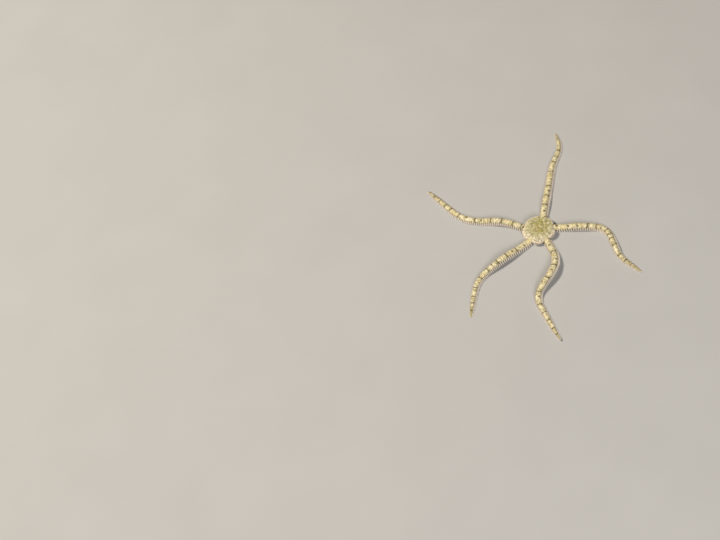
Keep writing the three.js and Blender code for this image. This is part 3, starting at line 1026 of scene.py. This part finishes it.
def turned_shape(name, profile, around):
    """A closed shape turned round +Z through heights and radii, from a flat foot to a point."""
    turn = np.arange(around) * 2 * math.pi / around
    places = np.array([(r * math.cos(t), r * math.sin(t), z) for z, r in profile[:-1] for t in turn]
                      + [(0, 0, profile[-1][0])])
    rings = len(profile) - 1
    tip = rings * around
    faces = tube_faces(rings, around)
    faces += [(tip - around + i, tip, tip - around + (i + 1) % around) for i in range(around)]
    faces.append(tuple(range(around)))
    low, high = profile[0][0], profile[-1][0]
    along = (places[:, 2] - low) / (high - low) - 0.5
    across = places[:, 1] / np.ptp(places[:, 1])
    edge = np.hypot(places[:, 0], places[:, 1]) / max(r for z, r in profile)
    return outwards(new_mesh(name, places, faces, along=along, across=across, edge=edge))


def scale_shape(name):
    """A low domed scale, one unit across and one high above its seat."""
    return turned_shape(name, [(-0.6, 0.4), (0.1, 0.5), (0.6, 0.45), (0.9, 0.28), (1.0, 0)], 10)


# Trees of geometry nodes


def new_tree(name, **inputs):
    """A tree with a geometry input and output and other named inputs."""
    tree = bpy.data.node_groups.new(name, "GeometryNodeTree")
    tree.interface.new_socket("Geometry", in_out="INPUT", socket_type="NodeSocketGeometry")
    for label, kind in inputs.items():
        tree.interface.new_socket(label, in_out="INPUT", socket_type=f"NodeSocket{kind}")
    tree.interface.new_socket("Geometry", in_out="OUTPUT", socket_type="NodeSocketGeometry")
    return tree, add(tree, "NodeGroupInput").outputs


def set_out_tree():
    """Sets a shape on every point, turned and sized by the point's values, with its patch of the unwrap."""
    tree, given = new_tree("set out", shape="Object", size_spread="Float", lean_spread="Vector", seed="Int",
                           material="Material")
    kept = {name: add(tree, "GeometryNodeInputNamedAttribute", {"Name": name}, data_type="FLOAT_VECTOR")
            for name in ("up", "ahead", "size", "patch", "root")}
    kept |= {name: add(tree, "GeometryNodeInputNamedAttribute", {"Name": name}, data_type="FLOAT")
             for name in ("along", "across")}
    shape = add(tree, "GeometryNodeObjectInfo", {"Object": given["shape"]}).outputs["Geometry"]
    turn = add(tree, "FunctionNodeAxesToRotation", {
        "Primary Axis": kept["up"], "Secondary Axis": kept["ahead"],
    }, primary_axis="Z", secondary_axis="X")
    back = add(tree, "ShaderNodeVectorMath", {0: given["lean_spread"], 3: -1.0}, operation="SCALE")
    lean = add(tree, "FunctionNodeRandomValue", {
        "Min": back, "Max": given["lean_spread"], "Seed": given["seed"],
    }, data_type="FLOAT_VECTOR")
    turn = add(tree, "FunctionNodeRotateRotation", {
        "Rotation": turn, "Rotate By": lean,
    }, rotation_space="LOCAL")
    least = add(tree, "ShaderNodeMath", {0: 1.0, 1: given["size_spread"]}, operation="SUBTRACT")
    most = add(tree, "ShaderNodeMath", {0: 1.0, 1: given["size_spread"]}, operation="ADD")
    vary = add(tree, "FunctionNodeRandomValue", {
        "Min": least, "Max": most, "Seed": given["seed"],
    }, data_type="FLOAT")
    size = add(tree, "ShaderNodeVectorMath", {0: kept["size"], 3: vary}, operation="SCALE")
    tint = add(tree, "FunctionNodeRandomValue", {"Seed": given["seed"]}, data_type="FLOAT")
    points = add(tree, "GeometryNodeStoreNamedAttribute", {
        "Geometry": given["Geometry"], "Name": "tint", "Value": tint,
    }, data_type="FLOAT", domain="POINT")
    placed = add(tree, "GeometryNodeInstanceOnPoints", {
        "Points": points, "Instance": shape, "Rotation": turn, "Scale": size,
    })
    made = add(tree, "GeometryNodeRealizeInstances", {"Geometry": placed})
    within = add(tree, "ShaderNodeCombineXYZ", {"X": kept["along"], "Y": kept["across"]})
    flat = add(tree, "ShaderNodeVectorMath", {
        0: within, 1: kept["patch"], 2: kept["root"],
    }, operation="MULTIPLY_ADD")
    made = add(tree, "GeometryNodeStoreNamedAttribute", {
        "Geometry": made, "Name": "OFBake", "Value": flat,
    }, data_type="FLOAT2", domain="CORNER")
    made = add(tree, "GeometryNodeSetMaterial", {"Geometry": made, "Material": given["material"]})
    add(tree, "NodeGroupOutput", {"Geometry": made})
    return tree


def strew_tree(set_out):
    """Strews points evenly over a surface, no two closer than the spacing, and sets a shape on each."""
    tree, given = new_tree("strew", shape="Object", spacing="Float", size_spread="Float", seed="Int",
                           material="Material")
    # Dense enough for the spacing alone to decide
    area = add(tree, "ShaderNodeMath", {0: given["spacing"], 1: 2.0}, operation="POWER")
    dense = add(tree, "ShaderNodeMath", {0: 4.0, 1: area}, operation="DIVIDE")
    strewn = add(tree, "GeometryNodeDistributePointsOnFaces", {
        "Mesh": given["Geometry"], "Distance Min": given["spacing"], "Density Max": dense,
        "Seed": given["seed"],
    }, distribute_method="POISSON")
    ahead = add(tree, "FunctionNodeRandomValue", {
        "Min": (-1.0, -1.0, -1.0), "Max": (1.0, 1.0, 1.0), "Seed": 3,
    }, data_type="FLOAT_VECTOR")
    size = add(tree, "ShaderNodeVectorMath", {
        0: (1.0, 1.0, 1.0), 3: given["spacing"],
    }, operation="SCALE")
    points = strewn.outputs["Points"]
    for name, value in (("up", strewn.outputs["Normal"]), ("ahead", ahead), ("size", size)):
        points = add(tree, "GeometryNodeStoreNamedAttribute", {
            "Geometry": points, "Name": name, "Value": value,
        }, data_type="FLOAT_VECTOR", domain="POINT")
    placed = add(tree, "GeometryNodeGroup", node_tree=set_out)
    passed_on = {name: given[name] for name in ("shape", "size_spread", "seed", "material")}
    wire(tree, placed, {"Geometry": points} | passed_on)
    add(tree, "NodeGroupOutput", {"Geometry": placed})
    return tree


SET_OUT = set_out_tree()
STREW = strew_tree(SET_OUT)


def grown(bed, tree, shape, material, **inputs):
    """The plain mesh that a tree makes of a bed mesh and a shape, its inputs set by identifier."""
    model = linked("shape", shape)
    inputs |= {"shape": model, "material": material}
    made = linked("bed", bed)
    modifier = made.modifiers.new("grow", "NODES")
    modifier.node_group = tree
    for item in tree.interface.items_tree:
        if item.in_out == "INPUT" and item.name in inputs:
            modifier[item.identifier] = inputs[item.name]
    mesh = evaluated(made)
    bpy.data.objects.remove(model)
    return mesh


def set_out(parts, shape, material, seed, size_spread=0.0, lean_spread=(0.0, 0.0, 0.0)):
    """Sets a shape on every point of several parts, each a set of places and values."""
    whole = {key: np.concatenate([part[key] for part in parts]) for key in parts[0]}
    bed = new_mesh("points", whole.pop("place"), [], **whole)
    return grown(bed, SET_OUT, shape, material, seed=seed, size_spread=size_spread, lean_spread=lean_spread)


def tuft_values(flat):
    """The values that give a small shape its own patch, at its root's place on the unwrap."""
    return {"root": np.pad(flat, ((0, 0), (0, 1))), "patch": np.full((len(flat), 3), TUFT_PATCH)}


def point_values(place, up, ahead, size, flat, **marks):
    """The points that shapes are set out on: places, directions, sizes, roots on the unwrap, and marks."""
    count = len(place)
    vectors = {"place": place, "up": up, "ahead": ahead, "size": size}
    vectors = {key: np.broadcast_to(value, (count, 3)) for key, value in vectors.items()}
    marks = {key: np.broadcast_to(value, count) for key, value in marks.items()}
    return vectors | tuft_values(flat) | marks


# Pieces of the arms


def joint_points(path, plate, angle, under_disc=False):
    """A point under the middle of each joint for a plate at an angle round the section."""
    near, far = path.ends[:-1], path.ends[1:]
    spot, spot_side = path.spots()
    marks = {"band": path.bands(), "spot": spot, "spot_side": spot_side}
    if under_disc:
        run = np.linspace(ARM_INNER, 0, JOINTS_UNDER_DISC + 1)
        near, far = np.concatenate([run[:-1], near]), np.concatenate([run[1:], far])
        marks = {key: np.pad(value, (JOINTS_UNDER_DISC, 0)) for key, value in marks.items()}
    middle = (near + far) / 2
    origin, forward, left, up = path.axes(middle)
    wide, high = path.size(far)
    size = np.stack([(far - near) / JOINT_LONG, wide, high], -1)
    points = point_values(origin, up, forward, size, path.on_unwrap(middle, math.radians(angle)), **marks)
    points["patch"][:, 0] = PLATE_PATCH * STRIP["per_mm"] * (far - near)
    points["patch"][:, 1] = PLATE_PATCH * STRIP["high"] * 2 * plate["half_turn"] / 360
    points["patch"][:, 2] = 0
    return points


def add_back_plates(material):
    points = [joint_points(path, BACK_PLATE, BACK_PLATE["middle"]) for path in PATHS]
    mesh = set_out(points, plate_shape("back_plate", BACK_PLATE), material, seed=5, **UNEVEN_PLATES)
    add_piece("back_plates", mesh, material)


def add_side_plates(material):
    for name, side, angle in (("left", 1, SIDE_PLATE["middle"]), ("right", -1, 180 - SIDE_PLATE["middle"])):
        points = [joint_points(path, SIDE_PLATE, angle) for path in PATHS]
        shape = plate_shape("side_plate", SIDE_PLATE, side)
        mesh = set_out(points, shape, material, seed=6 + side, **UNEVEN_PLATES)
        add_piece(f"side_plates_{name}", mesh, material)


def add_belly_plates(material):
    points = [joint_points(path, BELLY_PLATE, BELLY_PLATE["middle"], under_disc=True) for path in PATHS]
    mesh = set_out(points, plate_shape("belly_plate", BELLY_PLATE), material, seed=9)
    add_piece("belly_plates", mesh, material)


def clear_of_floor(place, peg, length, width):
    """The root and direction of a spine, raised where it would reach the floor."""
    least = FLOOR_CLEAR + width / 2
    place = np.array([place[0], place[1], max(place[2], least)])
    lowest = (least - place[2]) / length
    if peg[2] < lowest:
        peg = unit(peg * (1, 1, 0)) * math.sqrt(1 - lowest**2) + (0, 0, lowest)
    return place, peg


def comb_points(path):
    """A point for each spine: a comb on both sides of every joint outside the disc."""
    rows = []
    for near, far in zip(path.ends[:-1], path.ends[1:]):
        s = near + COMB_ALONG * (far - near)
        wide, high = path.size(s)
        origin, forward, left, up = (part[0] for part in path.axes(s))
        follows = {key: 1 - share + share * high for key, share in SPINE_FOLLOWS.items()}
        width = SPINE_WIDTH * follows["width"]
        for side in (1, -1):
            tucked = smooth(side * left @ TUCKED["side"], -0.5, 0.5)
            for angle, tilt in np.radians(COMB):
                spot, out = section(angle, ARM_HALF * wide, ARM_HEIGHT * high)
                place = origin + side * spot[0] * left + spot[1] * up
                length = SPINE_LENGTH * follows["length"]
                length *= draw.uniform(SPINE_VARY["shortest"], SPINE_VARY["longest"])
                length *= 1 - TUCKED["shorter"] * tucked
                lean = math.radians(SPINE_LEAN + draw.uniform(-SPINE_VARY["lean"], SPINE_VARY["lean"]))
                reach, degrees = polar(place - DISC_CENTRE)
                if reach < disc_radius(degrees) + DISC_CLEAR and place[2] > DISC_BELLY:
                    continue
                tilt = tilt + math.radians(TUCKED["tilt"]) * tucked
                across = side * math.cos(tilt) * left + math.sin(tilt) * up
                peg = across * math.cos(lean) + forward * math.sin(lean)
                place, peg = clear_of_floor(place, peg, length, width)
                flat = path.on_unwrap(s, angle if side > 0 else math.pi - angle)
                rows.append((place, peg, forward, (width, width, length), flat))
    return point_values(*(np.array(column) for column in zip(*rows)))


def add_spines(material):
    points = [comb_points(path) for path in PATHS]
    shape = turned_shape("spine", SPINE_PROFILE, around=5)
    add_piece("spines", set_out(points, shape, material, seed=11, size_spread=0.04), material)


def foot_scale_points(path):
    """A point on each side of each joint, beside the belly plates, where a foot comes out."""
    half = -ARM_INNER / JOINTS_UNDER_DISC / 2
    under_disc = np.linspace(ARM_INNER + half, -half, JOINTS_UNDER_DISC)
    s = np.concatenate([under_disc, (path.ends[:-1] + path.ends[1:]) / 2])
    origin, forward, left, up = path.axes(s)
    wide, high = path.size(s)
    angle = math.radians(FOOT_SCALE["angle"])
    spot, out = section(angle)
    parts = []
    for side in (1, -1):
        place = origin + side * spot[0] * wide[:, None] * left + spot[1] * high[:, None] * up
        place[:, 2] = np.maximum(place[:, 2], FOOT_SCALE["least_height"] * wide)
        direction = side * out[0] * left + out[1] * up
        flat = path.on_unwrap(s, angle if side > 0 else math.pi - angle)
        parts.append(point_values(place, direction, forward, wide[:, None] * FOOT_SCALE["size"], flat))
    return parts


def add_foot_scales(material):
    """The small scales that close over the feet along the underside."""
    points = [part for path in PATHS for part in foot_scale_points(path)]
    mesh = set_out(points, scale_shape("foot_scale"), material, seed=13, size_spread=0.1)
    add_piece("foot_scales", mesh, material)


def add_end_plates(material):
    """The rounded plate that closes each arm's tip."""
    points = []
    for path in PATHS:
        origin, forward, left, up = path.axes(path.length)
        place = origin + END_PLATE["height"] * ARM_HEIGHT * path.size(path.length)[0] * up
        flat = path.on_unwrap([path.length], 0)
        points.append(point_values(place, forward, up, END_PLATE["size"], flat))
    shape = turned_shape("end_plate", END_PROFILE, around=12)
    add_piece("end_plates", set_out(points, shape, material, seed=14), material)


# Pieces of the disc


def disc_bed(places, flat, kept):
    """A bed for granules over rows of points, with a hole wherever a point isn't kept."""
    faces = [face for face in tube_faces(len(places), DISC_TURNS) if all(kept[corner] for corner in face)]
    return new_mesh("granule_bed", places.reshape(-1, 3), faces, **tuft_values(flat.reshape(-1, 2)))


def add_granules(material):
    back, back_flat = back_places()
    under, under_flat, slits = under_places()
    places = np.concatenate([back, under[:EDGE_ROWS]])
    flat = np.concatenate([back_flat, under_flat[:EDGE_ROWS]])
    bed = disc_bed(places, flat, np.full(places[..., 0].size, True))
    shape = turned_shape("granule", GRAIN_PROFILE, around=5)
    mesh = grown(bed, STREW, shape, material, spacing=GRAIN_SPACING, size_spread=GRAIN_SPREAD, seed=4)
    add_piece("granules", mesh, material)


def add_belly_granules(material):
    """Coarser granules on the underside, but not under the arms, in the slits or round the mouth."""
    under, flat, slits = (rows[EDGE_ROWS - 1:] for rows in under_places())
    points = (under - DISC_CENTRE).reshape(-1, 3)
    off_arms = np.full(len(points), np.inf)
    for base in BASES:
        along, off = beside_arm(points, base)
        off_arms = np.where(along < 0, off_arms, np.minimum(off_arms, off))
    kept = (polar(points)[0] > BELLY_GRAIN["from_middle"]) & (off_arms > BELLY_GRAIN["off_arms"])
    bed = disc_bed(under, flat, kept & (slits.ravel() < BELLY_GRAIN["most_slit"]))
    shape = turned_shape("granule", GRAIN_PROFILE, around=5)
    mesh = grown(bed, STREW, shape, material, spacing=BELLY_GRAIN["spacing"], size_spread=GRAIN_SPREAD,
                 seed=15)
    add_piece("belly_granules", mesh, material)


def add_rim_scales(material):
    """Overlapping scales that edge each lobe: two rows on the back and one at the widest edge."""
    points = []
    for number, (share, pale, long, wide) in enumerate(RIM_ROWS):
        degrees = np.arange(0, 360, RIM_STEP) + RIM_STEP / 2 * number
        degrees = degrees + draw.uniform(-RIM_VARY, RIM_VARY, len(degrees))
        degrees = degrees[nearest_arm(degrees) > RIM_CLEAR]
        place, out, flat = on_back(ray(degrees, share * disc_radius(degrees))[:, :2])
        outward = ray(degrees)
        up = unit(out - RIM_TILT * outward)
        points.append(point_values(place, up, outward, [long, wide, RIM_HIGH], flat, pale=pale))
    degrees = np.arange(0, 360, RIM_STEP)
    degrees = degrees[nearest_arm(degrees) > LOW_RIM["clear"]]
    place = around_disc(LOW_RIM["share"], degrees, LOW_RIM["height"])
    up = unit(ray(degrees, 1.0, -LOW_RIM["tuck"]))
    flat = on_patch(BACK_PATCH, LOW_RIM["patch"], degrees)
    points.append(point_values(place, up, DOWN, LOW_RIM["size"], flat, pale=LOW_RIM["pale"]))
    mesh = set_out(points, scale_shape("rim_scale"), material, seed=8, size_spread=0.1,
                   lean_spread=(0.06, 0.06, 0.1))
    add_piece("rim_scales", mesh, material)


def add_neck_plates(material):
    """A row of plates from each arm up on to the disc, ever narrower."""
    share, long, wide, pale = NECK_ROWS.T
    size = np.column_stack([long, wide, np.full(len(NECK_ROWS), NECK_HIGH)])
    points = []
    for base in BASES:
        place, out, flat = on_back(ray(base, share * disc_radius(base))[:, :2])
        up = unit(out - NECK_TILT * ray(base))
        points.append(point_values(place, up, ray(base), size, flat, pale=pale))
    mesh = set_out(points, scale_shape("neck_plate"), material, seed=16, size_spread=0.04)
    add_piece("neck_plates", mesh, material)


# Rings of a domed plate: shares of its outline and of its rise, from its foot to its crown
DOME_RINGS = [[1.0, -0.6], [1.0, 0.3], [0.93, 0.7], [0.75, 0.93], [0.4, 1.0]]


def domed_plates(name, outlines, seat, rise):
    """Closed plates with rolled edges, each standing on a seat over its outline in the ground plan."""
    places, faces, flats, edges, tints = [], [], [], [], []
    for outline in outlines:
        outline = np.asarray(outline)
        middle = outline.mean(axis=0)
        start, around = sum(map(len, places)), len(outline)
        for share, high in DOME_RINGS:
            place, out, flat = seat(middle + share * (outline - middle))
            places.append(place + high * rise * out)
            flats.append(flat)
            edges.append(np.full(around, float(share > 0.9)))
        place, out, flat = seat(middle[None])
        places.append(place + rise * out)
        flats.append(flat)
        edges.append(np.zeros(1))
        rings = len(DOME_RINGS)
        crown, last = start + rings * around, start + (rings - 1) * around
        faces += [tuple(start + corner for corner in face) for face in tube_faces(rings, around)]
        faces += [(last + i, crown, last + (i + 1) % around) for i in range(around)]
        faces.append(tuple(range(start, start + around)))
        tints.append(np.full(rings * around + 1, draw.uniform()))
    places, flats, edges, tints = (np.concatenate(rows) for rows in (places, flats, edges, tints))
    return outwards(set_unwrap(new_mesh(name, places, faces, edge=edges, tint=tints), flats))


def turned(outline, degrees):
    """An outline in the ground plan, drawn along +X, turned to a direction from the disc's centre."""
    c, s = math.cos(math.radians(degrees)), math.sin(math.radians(degrees))
    return np.asarray(outline) @ np.array([[c, s], [-s, c]])


def drop(reach, across, long, wide, narrow, around=20):
    """The outline of a drop, its narrow end inwards."""
    t = np.arange(around) * 2 * math.pi / around
    half = wide / 2 * (1 + narrow * np.cos(t))
    return np.stack([reach + long / 2 * np.cos(t), across + half * np.sin(t)], -1)


def add_shields(material):
    """The pair of bare shields in the disc above each arm."""
    outlines = []
    for base in BASES:
        for side in (1, -1):
            outline = drop(SHIELD["out"], side * SHIELD["off"], long=4.6, wide=2.0, narrow=0.35)
            outlines.append(turned(outline, base + side * SHIELD["turn"]))
    add_piece("shields", domed_plates("shields", outlines, on_back, SHIELD["rise"]), material)


# Underside


def add_mouth_shields(material):
    """The shields outside each jaw: a broad one, and a narrow one along each side of the jaw's seat."""
    outlines = []
    for middle in BETWEEN_ARMS:
        outlines.append(turned(drop(MOUTH_SHIELD["out"], 0, long=2.5, wide=2.9, narrow=0.2), middle))
        for side in (1, -1):
            wedge = drop(0, 0, long=2.3, wide=0.85, narrow=0.25, around=14)
            wedge = turned(wedge, side * SIDE_SHIELD["turn"])
            outlines.append(turned(wedge + (SIDE_SHIELD["out"], side * SIDE_SHIELD["off"]), middle))
    mesh = domed_plates("mouth_shields", outlines, on_underside, MOUTH_SHIELD["rise"])
    add_piece("mouth_shields", mesh, material)


def add_jaws(material):
    """Five jaws, each in two halves with a groove between them."""
    outlines = [turned(np.array(JAW_HALF + JAW_GROOVE) * (1, side), middle)
                for middle in BETWEEN_ARMS for side in (1, -1)]
    add_piece("jaws", domed_plates("jaws", outlines, on_jaws, JAW_RISE), material, JAWS)


def add_teeth(material):
    """Blunt teeth at each jaw's tip, and papillae along its sides out to the seat."""
    rows = np.array(TEETH + [[along, -across, -facing] for along, across, facing in TEETH[1:]])
    size = np.array([FRONT_TOOTH_SIZE] + [TOOTH_SIZE] * (len(rows) - 1))
    points = []
    for middle in BETWEEN_ARMS:
        place, out, flat = on_underside(turned(rows[:, :2], middle), JAW_LOW + TOOTH_ROOT)
        facing = unit(ray(middle + rows[:, 2], 1.0, -TOOTH_DROOP))
        points.append(point_values(place, facing, UP, size, flat))
    shape = turned_shape("tooth", TOOTH_PROFILE, around=7)
    add_piece("teeth", set_out(points, shape, material, seed=17, size_spread=0.08), material)


# Floor, light and camera

FLOOR_HALF = 3.0  # metres


def add_floor():
    """Pale matt card under the animal."""
    corners = [(x * FLOOR_HALF, y * FLOOR_HALF, 0) for x, y in ((-1, -1), (1, -1), (1, 1), (-1, 1))]
    mesh = bpy.data.meshes.new("floor")
    mesh.from_pydata(corners, [], [(0, 1, 2, 3)])
    material, tree, shader = new_material("pale matt card", roughness=0.9, specular=0.1)
    wire(tree, shader, {"Base Color": painted(tree, "#B0AFAB", (grain(tree, 60), "#B7B6B2"))})
    mesh.materials.append(material)
    linked("floor", mesh)


def add_light(name, direction, size, power, colour, distance=2.2):
    """A soft square light that looks at the animal from a direction, in metres."""
    data = bpy.data.lights.new(name, "AREA")
    data.size = size
    data.energy = power
    data.color = linear(colour)[:3]
    lamp = linked(name, data)
    away = Vector(direction).normalized()
    lamp.location = away * distance
    lamp.rotation_euler = away.to_track_quat("Z", "Y").to_euler()


def add_lights():
    add_light("key", (-0.55, 0.22, 0.82), size=0.3, power=44.0, colour="#FFF6EA")
    add_light("fill", (0.2, -0.95, 0.62), size=0.7, power=28.0, colour="#FAF9FF")
    world = bpy.data.worlds.new("studio")
    world.use_nodes = True
    wire(world.node_tree, world.node_tree.nodes["Background"], {"Color": "#E9E6E0", "Strength": 0.2})
    bpy.context.scene.world = world
    bpy.context.scene.view_settings.view_transform = "Standard"


# The photograph's view: a long lens, looking down, with the picture leant over
PICTURE = (720, 540)
LENS = 80
SENSOR = 36
VIEW_ELEVATION = 53
VIEW_LEAN = 15
VIEW_SCALE = 25 / 33  # millimetres to a pixel at the disc
VIEW_POINT = np.array([5.96, 4.36, 2.6])  # seen at the pixel below
VIEW_PIXEL = (539.1, 231.1)


def add_camera():
    focal = LENS / SENSOR * PICTURE[0]
    tilt = Matrix.Rotation(math.radians(90 - VIEW_ELEVATION), 3, "X")
    lean = Matrix.Rotation(math.radians(-VIEW_LEAN), 3, "Z")
    across, down = (pixel - side / 2 for pixel, side in zip(VIEW_PIXEL, PICTURE))
    aim = Vector((0, 0, -1)).rotation_difference(Vector((across, -down, -focal)).normalized()).to_matrix()
    turn = tilt @ lean @ aim.transposed()
    away = tilt @ Vector((0, 0, 1))
    place = (Vector(VIEW_POINT) + away * focal * VIEW_SCALE) * METRES
    data = bpy.data.cameras.new("camera")
    data.lens = LENS
    data.sensor_width = SENSOR
    data.clip_start = 0.05
    data.clip_end = 20
    camera = linked("camera", data)
    camera.matrix_world = Matrix.Translation(place) @ turn.to_4x4()
    bpy.context.scene.camera = camera


add_camera()
add_lights()
add_floor()
add_skin(skin_material())

mottled_calcite = back_plate_material()
bone_white = belly_plate_material()
add_back_plates(mottled_calcite)
add_side_plates(side_plate_material())
add_belly_plates(bone_white)
add_spines(spine_material())
add_foot_scales(bone_white)
add_end_plates(mottled_calcite)

add_granules(granule_material())
add_rim_scales(rim_material())
worn_cream = shield_material()
add_neck_plates(worn_cream)
add_shields(worn_cream)

add_belly_granules(belly_grain_material())
add_mouth_shields(bone_white)
satin_bone = jaw_material()
add_jaws(satin_bone)
add_teeth(satin_bone)
